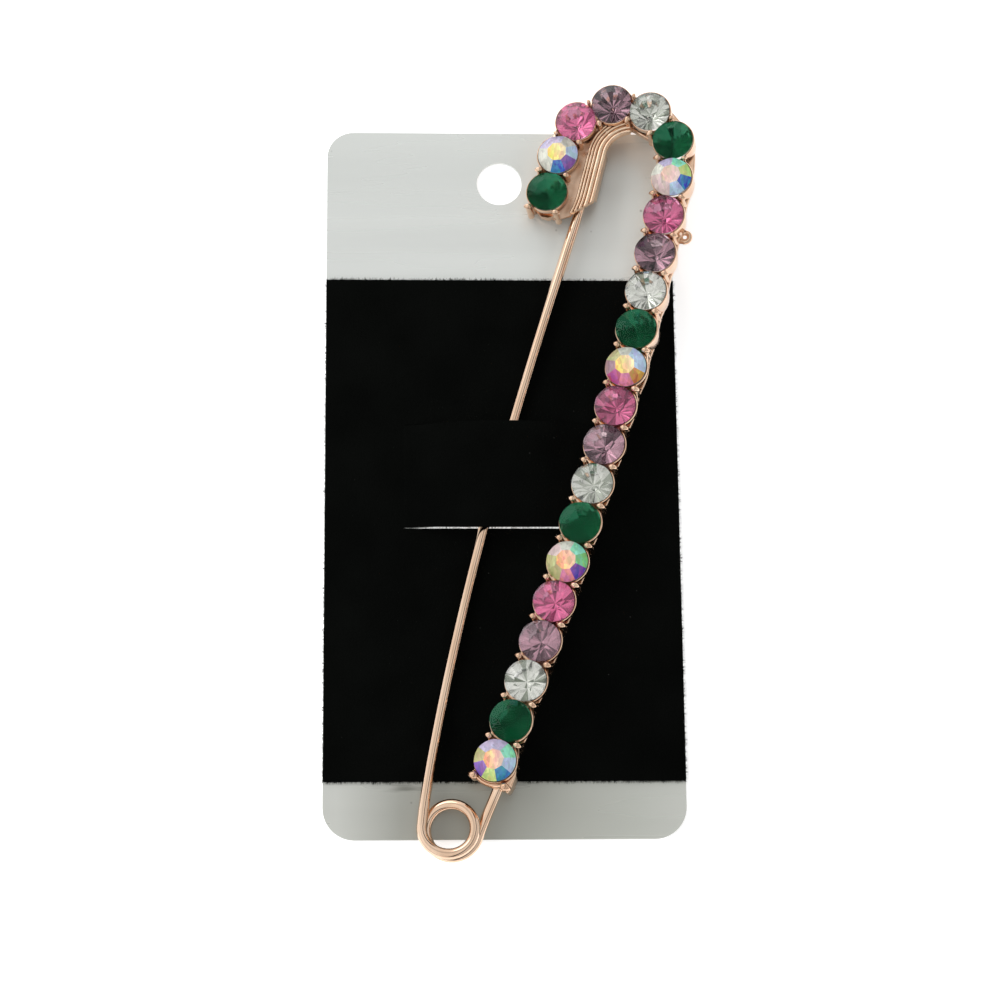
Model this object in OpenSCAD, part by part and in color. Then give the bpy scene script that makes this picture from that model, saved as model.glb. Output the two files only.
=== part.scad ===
// Safety pin brooch with a row of cut stones, threaded through its display card.
// The card lies flat on its back, +Z up, +Y towards the hang hole. Millimetres.

/* [Stones] */
// Number of stones in the row
stone_count = 22; // [22]
// Distance between stone centres along the row
stone_pitch = 4.10; // [4.08:0.01:4.14]
// Stone diameter at the girdle
stone_d = 3.94; // [3.8:0.02:3.96]
// Height of the crown, from girdle to table
crown_h = 0.80; // [0.6:0.05:0.95]
// Depth of the pavilion, below the girdle
pavilion_h = 1.50; // [1.3:0.05:1.6]
// Table width across flats, as a share of the diameter
table_share = 0.46; // [0.4:0.01:0.55]

/* [Brooch outline] */
// Radius of the hook, along the stone centres
hook_r = 5.95; // [5.9:0.05:6.3]
// Angle that the hook turns through
hook_sweep = 176; // [172:1:180]
// Length of the limb, from the lowest stone to the hook
limb_len = 62.8; // [61:0.1:64]
// Radius of the limb's slight bow
limb_r = 370; // [300:5:500]
// Heading of the limb at the lowest stone, right of the brooch's long axis
limb_lean = 7.6; // [6.5:0.1:8.5]
// Lowest stone, right of the coil's centre
foot_x = 3.2; // [3:0.05:3.4]
// Lowest stone, above the coil's centre
foot_y = 7.2; // [7:0.1:7.6]

/* [Setting] */
// Outer radius of each cup
cup_r = 2.26; // [2.24:0.01:2.28]
// Radius of the round prong beads
bead_r = 0.42; // [0.36:0.01:0.44]
// Distance of the prongs from the row's centre line
bead_off = 1.42; // [1.38:0.01:1.5]
// Distance of the inner prongs from the centre line, in the hook
bead_in = 1.80; // [1.78:0.01:1.85]
// Width of the back rail
rail_w = 4.0; // [3.9:0.1:4.1]
// Radius of the opening in the rail behind each stone
window_r = 1.3; // [1:0.05:1.4]

/* [Wire] */
// Diameter of the spring wire
wire_d = 1.04; // [0.96:0.01:1.06]
// Radius of the coil, at the centre of the wire
coil_r = 2.5; // [2.4:0.05:2.7]
// Turns of the coil
coil_turns = 1.5; // [1.5]
// Rise of the coil in one turn
coil_rise = 1.12; // [1.1:0.01:1.2]
// Length of the pin from the coil's centre to its point
arm_len = 71.2; // [70.8:0.1:71.4]
// Sideways bow of the latched pin
arm_bow = 1.75; // [1.5:0.05:1.9]

/* [Card] */
// Width of the card
card_w = 35.3; // [34:0.1:37]
// Length of the card
card_h = 72.6; // [71:0.1:74]
// Thickness of the plastic
card_t = 0.4; // [0.3:0.05:0.4]
// Thickness of the flocked layer
velvet_t = 0.28; // [0.2:0.02:0.28]
// Upper edge of the flocked layer, above the card's centre
velvet_top = 20.3; // [19:0.1:22]
// Lower edge of the flocked layer, below the card's centre
velvet_low = 30.7; // [29:0.1:32]
// Corner radius at the top
corner_top = 2.7; // [2:0.1:4]
// Corner radius at the bottom
corner_low = 3.1; // [2:0.1:4]
// Diameter of the hang hole
hole_d = 4.6; // [4:0.1:4.6]
// Hang hole's centre above the card's centre
hole_y = 30.8; // [30:0.1:32]
// Length of each of the two slits
slit_len = 19.4; // [18:0.2:20]
// Upper slit above the card's centre
slit_top = 5.0; // [4.8:0.1:5.2]
// Lower slit below the card's centre
slit_low = 5.6; // [5.4:0.1:5.8]
// Height of the strip between the slits, where it bows over the pin
arch_h = 2.12; // [2.1:0.02:2.4]

/* [Lie on the card] */
// Angle of the brooch across the card
brooch_lean = 14.5; // [14:0.5:15]
// Roll of the brooch about its long axis
brooch_roll = 12; // [11:0.5:12]
// Slope of the brooch towards the hook
brooch_rise = 0.5; // [0.5:0.1:1]
// Coil's centre, left of the card's centre
coil_x = 5.5; // [5.4:0.1:5.6]
// Coil's centre, below the card's centre
coil_y = 35.5; // [35.2:0.1:35.8]
// Height of the wire plane above the card's back, at the coil
coil_z = 2.15; // [2.15:0.05:2.3]

/* [Hidden] */
stone_names = [for (i = [1 : stone_count]) str("stone_", i < 10 ? "0" : "", i)];
$fn = 64;

// Where the card's centre lies, so that the origin is under the middle of the whole box
card_at = [-1.2, -0.85, 0];
gap = 0.05;
cut = 0.1;

// Heights in the brooch's own plane, from the wire plane
rail_z = -0.6;
rail_t = 0.85;
rail_end_r = 1.9;
rim_z = 1.42;
girdle_z = 2.15;
girdle_t = 0.12;
cup_top = 2.28;
bead_z = 2.42;
table_z = girdle_z + girdle_t + crown_h;
culet_z = girdle_z - pavilion_h;
seat_r = stone_d / 2 + 0.06;
seat_z = 2.0;
rim_low_r = 1.4;
rim_half = 55;
rim_outer = 67;
rim_inner = 42;
rim_end = 36;
collar_r = 0.5;
collar_z = 1.3;
collar_top = 2.07;
post_r = 0.34;
post_z = -0.3;

// The row's centre line is the limb's wide arc, then the hook, then a straight tail
row_len = (stone_count - 1) * stone_pitch;
limb_turn = limb_len / limb_r * 180 / PI;
hook_len = hook_r * hook_sweep * PI / 180;
tail_len = row_len - limb_len - hook_len;
function right(a) = [cos(a), -sin(a)];
function ahead(a) = [sin(a), cos(a)];
limb_c = [foot_x, foot_y] - limb_r * right(limb_lean);
hook_lean = limb_lean - limb_turn;
hook_c = limb_c + (limb_r - hook_r) * right(hook_lean);
tail_lean = hook_lean - hook_sweep;
tail_at = hook_c + hook_r * right(tail_lean);

// Place and heading at a distance s from the lowest stone
function row_lean(s) =
    s < limb_len ? limb_lean - s / limb_r * 180 / PI
    : s < limb_len + hook_len ? hook_lean - (s - limb_len) / hook_r * 180 / PI
    : tail_lean;
function row_at(s) =
    s < limb_len ? limb_c + limb_r * right(row_lean(s))
    : s < limb_len + hook_len ? hook_c + hook_r * right(row_lean(s))
    : tail_at + (s - limb_len - hook_len) * ahead(tail_lean);
function stone_s(i) = (stone_count - i) * stone_pitch;

// Puts a piece that is drawn pointing along +Y at distance s of the row
module on_row(s) {
    p = row_at(s);
    translate([p[0], p[1], 0]) rotate([0, 0, -row_lean(s)]) children();
}

// Lays the brooch's own plane on the card
module lie() {
    translate(card_at + [-coil_x, -coil_y, coil_z])
        rotate([0, 0, -brooch_lean]) rotate([brooch_rise, 0, 0]) rotate([0, -brooch_roll, 0])
            children();
}

// Back rail, one constant section along the whole row, open behind each stone
module rail_section(r) {
    translate([r - rail_w / 2, rail_z]) square([rail_w, rail_t]);
}
module rail() {
    difference() {
        union() {
            translate([limb_c[0], limb_c[1], 0]) rotate([0, 0, -limb_lean])
                rotate_extrude(angle = limb_turn, $fn = 720) rail_section(limb_r);
            translate([hook_c[0], hook_c[1], 0]) rotate([0, 0, -hook_lean])
                rotate_extrude(angle = hook_sweep) rail_section(hook_r);
            on_row(row_len - tail_len)
                translate([-rail_w / 2, 0, rail_z]) cube([rail_w, tail_len, rail_t]);
            for (s = [0, row_len])
                on_row(s) translate([0, 0, rail_z]) cylinder(r = rail_end_r, h = rail_t);
        }
        for (i = [1 : stone_count])
            on_row(stone_s(i)) translate([0, 0, rail_z - cut])
                cylinder(r = window_r, h = rail_t + 2 * cut, $fn = 48);
    }
}

// Rim of one stone: an arc of wedge section, centred on the side that the angle a points to
module rim(a, half) {
    rotate([0, 0, a - half]) rotate_extrude(angle = 2 * half)
        polygon([[rim_low_r, rim_z], [cup_r, rim_z], [cup_r, cup_top], [seat_r, cup_top], [seat_r, seat_z]]);
}
function in_hook(s) = s > limb_len && s < limb_len + hook_len;
module rims() {
    for (i = [1 : stone_count]) {
        s = stone_s(i);
        bent = in_hook(s);
        on_row(s) {
            rim(0, bent ? rim_outer : rim_half);
            rim(180, bent ? rim_inner : rim_half);
        }
    }
    for (end = [0, row_len])
        on_row(end) rim(end == 0 ? -90 : 90, rim_end);
}

// Prong between two stones, from the rail to its bead, with a collar that the rims run into
module post() {
    rotate_extrude($fn = 32) intersection() {
        union() {
            translate([0, post_z]) square([post_r, bead_z - post_z]);
            translate([0, collar_z]) square([collar_r, collar_top - collar_z]);
            translate([0, bead_z]) circle(r = bead_r);
        }
        translate([0, post_z]) square([2 * collar_r, bead_z + bead_r - post_z]);
    }
}
module prongs() {
    for (i = [0 : stone_count]) {
        s = (i - 0.5) * stone_pitch;
        on_row(s) {
            translate([bead_off, 0, 0]) post();
            translate([in_hook(s) ? -bead_in : -bead_off, 0, 0]) post();
        }
    }
}

// Socket at the bar's end that the wire is fixed in
socket_r = 0.92;
socket_z = -0.3;
socket_len = 3.7;
socket_bore = wire_d / 2 + gap;
socket_depth = 3.0;
socket_front = -2.5;
module socket() {
    on_row(0) translate([0, socket_front, socket_z]) rotate([-90, 0, 0])
        cylinder(r = socket_r, h = socket_len);
}
module socket_hole() {
    on_row(0) translate([0, socket_front - cut, socket_z]) rotate([-90, 0, 0])
        cylinder(r = socket_bore, h = socket_depth + cut);
}

// Sheath in the hook, a ridged plate whose lip holds the point of the pin
sheath_w = 1.5;
sheath_z = 0.8;
sheath_t = 0.42;
ridge_r = 0.22;
ridge_pitch = 0.5;
lip_t = 0.24;
lip_z = -0.45;
sheath_x = -1.95;
sheath_low = 64.2;
sheath_bend_y = 70.4;
sheath_bend_r = 3.6;
sheath_bend = 62;
module sheath_section(lip) {
    translate([-sheath_w / 2, sheath_z]) square([sheath_w, sheath_t]);
    for (k = [-1 : 1]) translate([k * ridge_pitch, sheath_z + sheath_t]) circle(r = ridge_r, $fn = 32);
    translate([lip * (sheath_w - lip_t) / 2 - lip_t / 2, lip_z])
        square([lip_t, sheath_z - lip_z + cut]);
}
module sheath() {
    translate([sheath_x, sheath_bend_y, 0]) rotate([90, 0, 0])
        linear_extrude(sheath_bend_y - sheath_low) sheath_section(1);
    translate([sheath_x + sheath_bend_r, sheath_bend_y, 0]) rotate([0, 0, 180 - sheath_bend])
        rotate_extrude(angle = sheath_bend) translate([sheath_bend_r, 0]) sheath_section(-1);
}

// Small closed loop on the back of the hook's right side
loop_r = 0.72;
loop_hole = 0.3;
loop_t = 0.5;
loop_off = rail_w / 2 + 0.42;
loop_s = stone_s(8) + stone_pitch * 0.1;
module loop() {
    on_row(loop_s) translate([loop_off, 0, rail_z]) cylinder(r = loop_r, h = loop_t, $fn = 32);
}
module loop_bore() {
    on_row(loop_s) translate([loop_off, 0, rail_z - cut]) cylinder(r = loop_hole, h = loop_t + 2 * cut);
}

module hook_bar() {
    color([0.87, 0.69, 0.58]) lie() difference() {
        union() {
            rail();
            rims();
            prongs();
            socket();
            sheath();
            loop();
        }
        socket_hole();
        loop_bore();
    }
}

// Wire: out of the socket, round the coil, and up as the pin. Sweep of rings along a curve
wire_sides = 12;
coil_steps = 12;
arm_steps = 22;
arm_tip_x = -2.15;
arm_low_y = 34;
arm_low_z = -0.26;
arm_tip_z = 0.1;
tip_len = 9;
tip_r = 0.12;
bow_power = 0.8;
coil_low_z = -0.82;
coil_high_z = coil_low_z + coil_turns * coil_rise;
socket_end = row_at(0) + (socket_front + 0.95 * socket_depth) * ahead(limb_lean);
socket_mouth = row_at(0) + socket_front * ahead(limb_lean);
function coil_pt(a, z) = [coil_r * cos(a), coil_r * sin(a), z];
function lead_x(t) = coil_r + (socket_mouth[0] - coil_r) * t * t;
function lead_z(t) = coil_low_z + (socket_z - coil_low_z) * t * t;
lead = [
    [socket_end[0], socket_end[1], socket_z],
    [socket_mouth[0], socket_mouth[1], socket_z],
    for (t = [0.75, 0.5, 0.25]) [lead_x(t), socket_mouth[1] * t, lead_z(t)]
];
coil = [for (k = [0 : coil_turns * coil_steps])
    coil_pt(-k * 360 / coil_steps, coil_low_z + coil_rise * k / coil_steps)];
function arm_x(y) =
    -coil_r + (arm_tip_x + coil_r) * y / arm_len - arm_bow * sin(180 * pow(y / arm_len, bow_power));
function arm_z(y) =
    y < arm_low_y ? arm_low_z + (coil_high_z - arm_low_z) * pow(1 - y / arm_low_y, 2)
    : arm_low_z + (arm_tip_z - arm_low_z) * pow((y - arm_low_y) / (arm_len - arm_low_y), 2);
arm = [for (k = [1 : arm_steps]) let (y = arm_len * k / arm_steps) [arm_x(y), y, arm_z(y)]];
route = concat(lead, coil, arm);
function wire_r(p) =
    p[1] < arm_len - tip_len ? wire_d / 2
    : tip_r + (wire_d / 2 - tip_r) * (arm_len - p[1]) / tip_len;

last = len(route) - 1;
function heading(k) = let (d = route[min(k + 1, last)] - route[max(k - 1, 0)]) d / norm(d);
function ring(k) =
    let (
        d = heading(k),
        u = cross([0, 0, 1], d) / norm(cross([0, 0, 1], d)),
        v = cross(d, u)
    )
    [for (j = [0 : wire_sides - 1]) let (a = 360 * j / wire_sides)
        route[k] + wire_r(route[k]) * (cos(a) * u + sin(a) * v)];
module pin_wire() {
    points = [for (k = [0 : last]) each ring(k)];
    sides = [for (k = [0 : last - 1], j = [0 : wire_sides - 1])
        let (n = (j + 1) % wire_sides, b = k * wire_sides)
        [b + j, b + wire_sides + j, b + wire_sides + n, b + n]];
    start = [for (j = [0 : wire_sides - 1]) j];
    finish = [for (j = [wire_sides - 1 : -1 : 0]) last * wire_sides + j];
    color([0.90, 0.76, 0.67]) lie() polyhedron(points, concat([start], sides, [finish]));
}

// Cut stone: a disc with eight crown facets, a flat table and eight pavilion facets
facets = 8;
facet_cut = 6;
table_r = stone_d * table_share / 2;
crown_slope = atan(crown_h / (stone_d / 2 - table_r));
pavilion_slope = atan(pavilion_h / (stone_d / 2));
module stone(i, tint) {
    color(tint) lie() on_row(stone_s(i)) difference() {
        translate([0, 0, culet_z]) cylinder(d = stone_d, h = table_z - culet_z, $fn = 48);
        for (k = [0 : facets - 1]) rotate([0, 0, (k + 0.5) * 360 / facets]) {
            translate([stone_d / 2, 0, girdle_z + girdle_t]) rotate([0, -90 + crown_slope, 0])
                rotate([0, 90, 0]) translate([-facet_cut, -facet_cut / 2, 0])
                    cube([2 * facet_cut, facet_cut, facet_cut]);
            translate([stone_d / 2, 0, girdle_z]) rotate([0, 90 - pavilion_slope, 0])
                rotate([0, -90, 0]) translate([-facet_cut, -facet_cut / 2, -facet_cut])
                    cube([2 * facet_cut, facet_cut, facet_cut]);
        }
    }
}

// Card plate, with the strip between the slits bowed up over the pin
slit_gap = 0.12;
flock_gap = 0.02;
arch_half = slit_len / 2;
arch_angle = 2 * atan(arch_h / arch_half);
arch_sum = arch_half / sin(arch_angle);
arch_end_r = 5.0;
arch_mid_r = arch_sum - arch_end_r;
arch_mid = arch_mid_r * sin(arch_angle);
arch_steps = 24;
function arch_z(x) =
    abs(x) < arch_mid ? arch_h - arch_mid_r + sqrt(pow(arch_mid_r, 2) - x * x)
    : arch_end_r - sqrt(pow(arch_end_r, 2) - pow(arch_half - abs(x), 2));
module card_outline() {
    hw = card_w / 2;
    hh = card_h / 2;
    for (side = [-1, 1]) {
        translate([side * (hw - corner_top), hh - corner_top]) circle(r = corner_top);
        translate([side * (hw - corner_low), corner_low - hh]) circle(r = corner_low);
    }
    translate([-hw, corner_low - hh]) square([card_w, card_h - corner_low - corner_top]);
    translate([corner_top - hw, hh - 2 * corner_top]) square([card_w - 2 * corner_top, 2 * corner_top]);
    translate([corner_low - hw, -hh]) square([card_w - 2 * corner_low, 2 * corner_low]);
}
module window() {
    translate([-arch_half, -slit_low]) square([slit_len, slit_top + slit_low]);
}
// Bowed strip of thickness t whose underside starts at height z
module strip(z, t) {
    xs = [for (k = [-arch_steps : arch_steps]) arch_half * k / arch_steps];
    under = [for (x = xs) [x, z + arch_z(x)]];
    over = [for (k = [len(xs) - 1 : -1 : 0]) [xs[k], z + t + arch_z(xs[k])]];
    translate([0, slit_top - slit_gap, 0]) rotate([90, 0, 0])
        linear_extrude(slit_top + slit_low - 2 * slit_gap) polygon(concat(under, over));
}
module card() {
    color([0.80, 0.81, 0.80]) translate(card_at) {
        linear_extrude(card_t) difference() {
            card_outline();
            window();
            translate([0, hole_y]) circle(d = hole_d);
        }
        strip(0, card_t);
    }
}
module velvet_pad() {
    z = card_t + flock_gap;
    color([0.05, 0.05, 0.05]) translate(card_at) {
        translate([0, 0, z]) linear_extrude(velvet_t) difference() {
            translate([-card_w / 2, -velvet_low]) square([card_w, velvet_low + velvet_top]);
            window();
        }
        strip(z, velvet_t);
    }
}

// Five colours that repeat along the row
tints = [[0.07, 0.35, 0.22], [0.95, 0.85, 0.55], [0.88, 0.42, 0.62], [0.68, 0.52, 0.60], [0.92, 0.92, 0.88]];

hook_bar();
pin_wire();
card();
velvet_pad();
for (i = [1 : stone_count])
    stone(i, tints[(i - 1) % len(tints)]);
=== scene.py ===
import math
import random

import bpy
from mathutils import Matrix, Vector


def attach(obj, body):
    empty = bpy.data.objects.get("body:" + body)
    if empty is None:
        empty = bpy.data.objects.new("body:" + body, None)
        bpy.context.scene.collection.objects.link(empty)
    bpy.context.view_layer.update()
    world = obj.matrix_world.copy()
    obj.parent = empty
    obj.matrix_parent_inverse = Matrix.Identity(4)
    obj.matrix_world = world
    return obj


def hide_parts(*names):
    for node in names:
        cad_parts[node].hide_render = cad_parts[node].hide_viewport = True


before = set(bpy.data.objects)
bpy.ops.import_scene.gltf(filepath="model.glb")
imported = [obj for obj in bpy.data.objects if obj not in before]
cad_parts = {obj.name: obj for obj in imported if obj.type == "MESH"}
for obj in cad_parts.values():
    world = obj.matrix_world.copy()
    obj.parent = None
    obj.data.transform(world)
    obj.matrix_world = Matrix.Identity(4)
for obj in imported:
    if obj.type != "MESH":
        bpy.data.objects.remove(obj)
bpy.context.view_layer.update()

scene = bpy.context.scene
mm = 0.001  # everything is modelled in millimetres and scaled when it is laid in its place


# Small helpers for working by hand

def deselectAll():
    if bpy.context.object and bpy.context.object.mode != "OBJECT":
        bpy.ops.object.mode_set(mode="OBJECT")
    bpy.ops.object.select_all(action="DESELECT")


def pick(obj):
    deselectAll()
    obj.select_set(True)
    bpy.context.view_layer.objects.active = obj
    return obj


def newest(name):
    obj = bpy.context.object
    obj.name = name
    obj.data.name = name
    return obj


def enterEdit(what="FACE"):
    bpy.ops.object.mode_set(mode="EDIT")
    bpy.ops.mesh.select_mode(type=what)


def leaveEdit():
    bpy.ops.object.mode_set(mode="OBJECT")


def editAll(obj, what="FACE"):  # opened in edit mode with everything selected
    pick(obj)
    enterEdit(what)
    bpy.ops.mesh.select_all(action="SELECT")


def chooseFaces(obj, test):  # leaves the object in edit mode with the wanted faces selected
    pick(obj)
    for part in (obj.data.vertices, obj.data.edges, obj.data.polygons):
        part.foreach_set("select", [False] * len(part))
    for face in obj.data.polygons:
        face.select = bool(test(face))
    enterEdit()


def applyAll(obj):
    pick(obj)
    for modifier in list(obj.modifiers):
        bpy.ops.object.modifier_apply(modifier=modifier.name)
    return obj


def bakePlace(obj):
    pick(obj)
    bpy.ops.object.transform_apply(location=True, rotation=True, scale=True)
    return obj


def outward(obj):  # merged, and every face pointing out
    editAll(obj)
    bpy.ops.mesh.remove_doubles(threshold=1e-4)
    bpy.ops.mesh.normals_make_consistent(inside=False)
    leaveEdit()
    return obj


def softEdges(obj, width, segments=2, angle=35):
    bevel = obj.modifiers.new("softEdges", "BEVEL")
    bevel.width = width
    bevel.segments = segments
    bevel.limit_method = "ANGLE"
    bevel.angle_limit = math.radians(angle)
    return applyAll(obj)


def smooth(obj, angle=40):
    pick(obj)
    bpy.ops.object.shade_smooth_by_angle(angle=math.radians(angle))
    return obj


def addToScene(obj):
    scene.collection.objects.link(obj)
    return obj


def copyAt(source, matrix):  # each copy has its own mesh, with its place in it
    twin = source.copy()
    twin.data = source.data.copy()
    addToScene(twin)
    twin.data.transform(matrix)
    if matrix.determinant() < 0:
        twin.data.flip_normals()
    return twin


def joinAs(name, parts):
    deselectAll()
    for part in parts:
        part.select_set(True)
    bpy.context.view_layer.objects.active = parts[0]
    if len(parts) > 1:
        bpy.ops.object.join()
    return newest(name)


def discard(*objs):
    for obj in objs:
        bpy.data.objects.remove(obj)


def cutWith(obj, tool):
    boolean = obj.modifiers.new("cut", "BOOLEAN")
    boolean.operation = "DIFFERENCE"
    boolean.object = tool
    boolean.solver = "EXACT"
    applyAll(obj)
    discard(tool)
    return obj


def box(name, middle, size):
    deselectAll()
    bpy.ops.mesh.primitive_cube_add(size=1, location=middle)
    obj = newest(name)
    obj.scale = size
    return bakePlace(obj)


def extrude(*by):
    bpy.ops.mesh.extrude_region_move(TRANSFORM_OT_translate={"value": by})


def outlineFace(name, points):  # a circle of as many corners, moved to the outline's points
    deselectAll()
    bpy.ops.mesh.primitive_circle_add(vertices=len(points), radius=1, fill_type="NGON")
    obj = newest(name)
    for vertex, point in zip(obj.data.vertices, points):
        vertex.co = point
    return obj


def finishPiece(obj, slotName, nodes, place, *materials):
    obj.matrix_world = place
    bakePlace(obj)
    for material in materials:
        obj.data.materials.append(material)
    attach(obj, "root")
    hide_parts(*nodes)
    return obj


# The brooch's own plane, as it lies on the card

brooch = {
    "count": 22, "pitch": 4.10,
    "hookR": 5.95, "hookSweep": 176.0,
    "limbLen": 62.8, "limbR": 370.0, "limbLean": 7.6,
    "foot": (3.2, 7.2),
    "place": (-6.7, -36.35, 2.15), "lean": 14.5, "rise": 0.5, "roll": 12.0,
}
limbLen, limbR, limbLean, hookR = (brooch[name] for name in ("limbLen", "limbR", "limbLean", "hookR"))
rowLen = (brooch["count"] - 1) * brooch["pitch"]
hookLen = math.radians(brooch["hookSweep"]) * hookR


def rightOf(a):
    return Vector((math.cos(math.radians(a)), -math.sin(math.radians(a))))


def aheadOf(a):
    return Vector((math.sin(math.radians(a)), math.cos(math.radians(a))))


limbCentre = Vector(brooch["foot"]) - limbR * rightOf(limbLean)
hookLean = limbLean - math.degrees(limbLen / limbR)
hookCentre = limbCentre + (limbR - hookR) * rightOf(hookLean)
tailLean = hookLean - brooch["hookSweep"]
tailStart = hookCentre + hookR * rightOf(tailLean)


def rowLean(s):
    if s < limbLen:
        return limbLean - math.degrees(s / limbR)
    if s < limbLen + hookLen:
        return hookLean - math.degrees((s - limbLen) / hookR)
    return tailLean


def rowAt(s, off=0.0):
    if s < limbLen:
        return limbCentre + (limbR + off) * rightOf(rowLean(s))
    if s < limbLen + hookLen:
        return hookCentre + (hookR + off) * rightOf(rowLean(s))
    past = s - limbLen - hookLen
    return tailStart + off * rightOf(tailLean) + past * aheadOf(tailLean)


def stoneS(i):
    return (brooch["count"] - i) * brooch["pitch"]


def inHook(s):
    return limbLen < s < limbLen + hookLen


def onRow(s):
    p = rowAt(s)
    return Matrix.Translation((p.x, p.y, 0)) @ Matrix.Rotation(math.radians(-rowLean(s)), 4, "Z")


scaleToMetres = Matrix.Scale(mm, 4)
layOnCard = (
    scaleToMetres
    @ Matrix.Translation(brooch["place"])
    @ Matrix.Rotation(math.radians(-brooch["lean"]), 4, "Z")
    @ Matrix.Rotation(math.radians(brooch["rise"]), 4, "X")
    @ Matrix.Rotation(math.radians(-brooch["roll"]), 4, "Y")
)


# Materials

def fill(node, values):
    for socket, value in values.items():
        node.inputs[socket].default_value = value


def newMaterial(name, rough, metal=0.0, level=0.5, colour=(0.8, 0.8, 0.8)):
    material = bpy.data.materials.new(name)
    material.use_nodes = True
    tree = material.node_tree
    shader = tree.nodes["Principled BSDF"]
    fill(shader, {"Base Color": (*colour, 1), "Roughness": rough, "Metallic": metal, "Specular IOR Level": level})
    return material, tree, shader


def pattern(tree, kind, scale, stretch, turn):
    coords = tree.nodes.new("ShaderNodeTexCoord")
    mapping = tree.nodes.new("ShaderNodeMapping")
    fill(mapping, {"Scale": stretch, "Rotation": (0, 0, math.radians(turn))})
    texture = tree.nodes.new(kind)
    fill(texture, {"Scale": scale})
    tree.links.new(coords.outputs["Object"], mapping.inputs["Vector"])
    tree.links.new(mapping.outputs["Vector"], texture.inputs["Vector"])
    return texture


def noise(tree, scale, detail=3.0, stretch=(1, 1, 1), turn=0.0):
    texture = pattern(tree, "ShaderNodeTexNoise", scale, stretch, turn)
    fill(texture, {"Detail": detail})
    return texture.outputs["Fac"]


def cells(tree, scale, output, stretch=(1, 1, 1), turn=0.0):
    return pattern(tree, "ShaderNodeTexVoronoi", scale, stretch, turn).outputs[output]


def ramp(tree, source, stops):  # each stop is a place with a colour or a grey
    node = tree.nodes.new("ShaderNodeValToRGB")
    elements = node.color_ramp.elements
    while len(elements) < len(stops):
        elements.new(0.5)
    for element, (place, tone) in zip(elements, stops):
        element.position = place
        element.color = (*tone, 1) if isinstance(tone, tuple) else (tone, tone, tone, 1)
    tree.links.new(source, node.inputs["Fac"])
    return node.outputs["Color"]


def spread(tree, source, low, high, fromLow=0.35, fromHigh=0.65):
    node = tree.nodes.new("ShaderNodeMapRange")
    fill(node, {"From Min": fromLow, "From Max": fromHigh, "To Min": low, "To Max": high})
    tree.links.new(source, node.inputs["Value"])
    return node.outputs["Result"]


def addBump(tree, shader, source, strength, distance):
    bump = tree.nodes.new("ShaderNodeBump")
    fill(bump, {"Strength": strength, "Distance": distance})
    tree.links.new(source, bump.inputs["Height"])
    tree.links.new(bump.outputs["Normal"], shader.inputs["Normal"])


def mixColour(tree, kind, factor, first, second):
    node = tree.nodes.new("ShaderNodeMix")
    node.data_type = "RGBA"
    node.blend_type = kind
    if isinstance(factor, (int, float)):
        node.inputs["Factor"].default_value = factor
    else:
        tree.links.new(factor, node.inputs["Factor"])
    for socket, value in ((node.inputs["A"], first), (node.inputs["B"], second)):
        if isinstance(value, tuple):
            socket.default_value = (*value, 1)
        else:
            tree.links.new(value, socket)
    return node.outputs["Result"]


roseGold = {
    # the crevice colour is dark polish residue together with painted shade
    "polishAndShade": (0.26, 0.12, 0.07), "polishAndShadeFrom": 0.30, "polishAndShadeTo": 0.72, "polishAndShadeSamples": 8,
    "patches": 500, "patchFrom": 0.35, "patchTo": 0.62, "grain": 900,
    "pits": 1800, "pitStrength": 0.16, "pitDepth": 0.00002,
}
castFinishes = {  # deep and light colour, least and most roughness, and how far out the dark crevices reach, with their polish and painted shade
    "roseGoldCast": ((0.72, 0.46, 0.31), (0.90, 0.64, 0.46), 0.10, 0.22, 0.0003),
    # a darker copy of the rose gold for the web below the stones: painted shade
    "roseGoldShaded": ((0.50, 0.33, 0.23), (0.66, 0.46, 0.33), 0.24, 0.38, 0.0003),
    # a lighter copy of the rose gold for the catch, its crevice shade reaching less far: painted light
    "roseGoldLit": ((0.86, 0.60, 0.42), (0.95, 0.72, 0.53), 0.10, 0.20, 0.00014),
}
wireGold = {
    "deep": (0.82, 0.57, 0.40), "light": (0.91, 0.67, 0.50), "deepAt": 0.35, "lightAt": 0.6,
    "drawn": 900, "drawnStretch": (1, 0.06, 1), "drawnStrength": 0.05, "drawnDepth": 0.00001,
    "grain": 1200, "smoothest": 0.04, "roughest": 0.10,
}


def castMaterial(name):
    deep, light, smoothest, roughest, reach = castFinishes[name]
    material, tree, shader = newMaterial(name, 0.2, metal=1.0)
    patches = noise(tree, roseGold["patches"])
    polished = ramp(tree, patches, [(roseGold["patchFrom"], deep), (roseGold["patchTo"], light)])
    polishAndShadeNooks = tree.nodes.new("ShaderNodeAmbientOcclusion")  # the dark polish left in the crevices, deepened with painted shade
    polishAndShadeNooks.samples = roseGold["polishAndShadeSamples"]
    fill(polishAndShadeNooks, {"Distance": reach})
    openness = spread(tree, polishAndShadeNooks.outputs["AO"], 0.0, 1.0, roseGold["polishAndShadeFrom"], roseGold["polishAndShadeTo"])
    tree.links.new(mixColour(tree, "MIX", openness, roseGold["polishAndShade"], polished), shader.inputs["Base Color"])
    grain = noise(tree, roseGold["grain"])
    tree.links.new(spread(tree, grain, smoothest, roughest), shader.inputs["Roughness"])
    addBump(tree, shader, noise(tree, roseGold["pits"]), roseGold["pitStrength"], roseGold["pitDepth"])
    return material


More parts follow.
